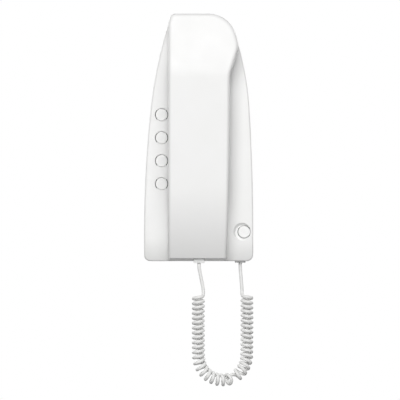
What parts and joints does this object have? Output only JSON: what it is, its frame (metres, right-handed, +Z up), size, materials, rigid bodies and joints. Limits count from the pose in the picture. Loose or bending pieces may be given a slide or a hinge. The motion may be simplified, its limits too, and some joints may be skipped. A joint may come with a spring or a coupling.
{
  "type": "audio intercom handset",
  "caption": "White wall intercom: a tapered base with round call buttons down one side and a door button, a long seated handset and a curly cord.",
  "frame": {"origin": "on the wall, at the middle of the base's back face", "axes": "+X to the right seen from the front, +Y into the wall, +Z up"},
  "size_m": [0.0978, 0.06, 0.3318],
  "materials": {
    "shell_white": "fine satin moulded ABS",
    "button_white": "smooth moulded ABS",
    "cord_white": "smooth soft PVC jacket",
    "plug_white": "clear polished",
    "board_green": "solder mask",
    "black_plastic": "plain",
    "grey_plastic": "plain",
    "black_rubber": "plain",
    "steel": "zinc plated",
    "brass": "plain",
    "aluminium": "plain"
  },
  "bodies": {
    "base": {"front_cover": "shell_white", "wall_plate": "shell_white", "cover_screw": "steel", "circuit_board": "board_green", "board_screws": "steel", "board_components": "black_plastic", "call_switches": "black_plastic", "door_switch": "black_plastic", "hook_switch": "black_plastic", "hook_spring": "steel", "terminal_block": "grey_plastic", "terminal_screws": "brass", "call_sounder": "black_plastic", "base_socket": "black_plastic", "base_plug": "plug_white", "curly_cord": "cord_white"},
    "handset": {"handset_front_shell": "shell_white", "handset_back_shell": "shell_white", "handset_screws": "steel", "receiver": "aluminium", "receiver_gasket": "black_rubber", "microphone": "aluminium", "microphone_boot": "black_rubber", "handset_weight": "steel", "handset_socket": "black_plastic", "handset_plug": "plug_white"},
    "plunger": {"hook_plunger": "grey_plastic"},
    "call_button_1": {"call_button_1": "button_white", "call_stem_1": "grey_plastic"},
    "call_button_2": {"call_button_2": "button_white", "call_stem_2": "grey_plastic"},
    "call_button_3": {"call_button_3": "button_white", "call_stem_3": "grey_plastic"},
    "call_button_4": {"call_button_4": "button_white", "call_stem_4": "grey_plastic"},
    "door_button": {"door_button": "button_white", "door_stem": "grey_plastic"}
  },
  "joints": [
    {"name": "handset_lift", "type": "slide", "parent": "base", "child": "handset", "axis": [0, -0.9397, 0.342], "range_m": [0, 0.06]},
    {"name": "hook_travel", "type": "slide", "parent": "base", "child": "plunger", "axis": [0, -1, 0], "range_m": [0, 0.003], "deforming": ["hook_spring"]},
    {"name": "call_button_1_press", "type": "slide", "parent": "base", "child": "call_button_1", "axis": [0, 1, 0], "range_m": [0, 0.0015], "stiffness_N_per_m": 500},
    {"name": "call_button_2_press", "type": "slide", "parent": "base", "child": "call_button_2", "axis": [0, 1, 0], "range_m": [0, 0.0015], "stiffness_N_per_m": 500},
    {"name": "call_button_3_press", "type": "slide", "parent": "base", "child": "call_button_3", "axis": [0, 1, 0], "range_m": [0, 0.0015], "stiffness_N_per_m": 500},
    {"name": "call_button_4_press", "type": "slide", "parent": "base", "child": "call_button_4", "axis": [0, 1, 0], "range_m": [0, 0.0015], "stiffness_N_per_m": 500},
    {"name": "door_button_press", "type": "slide", "parent": "base", "child": "door_button", "axis": [0, 1, 0], "range_m": [0, 0.0015], "stiffness_N_per_m": 500}
  ],
  "couplings": [
    {"joint": "hook_travel", "follows": "handset_lift", "ratio": 0.05}
  ]
}
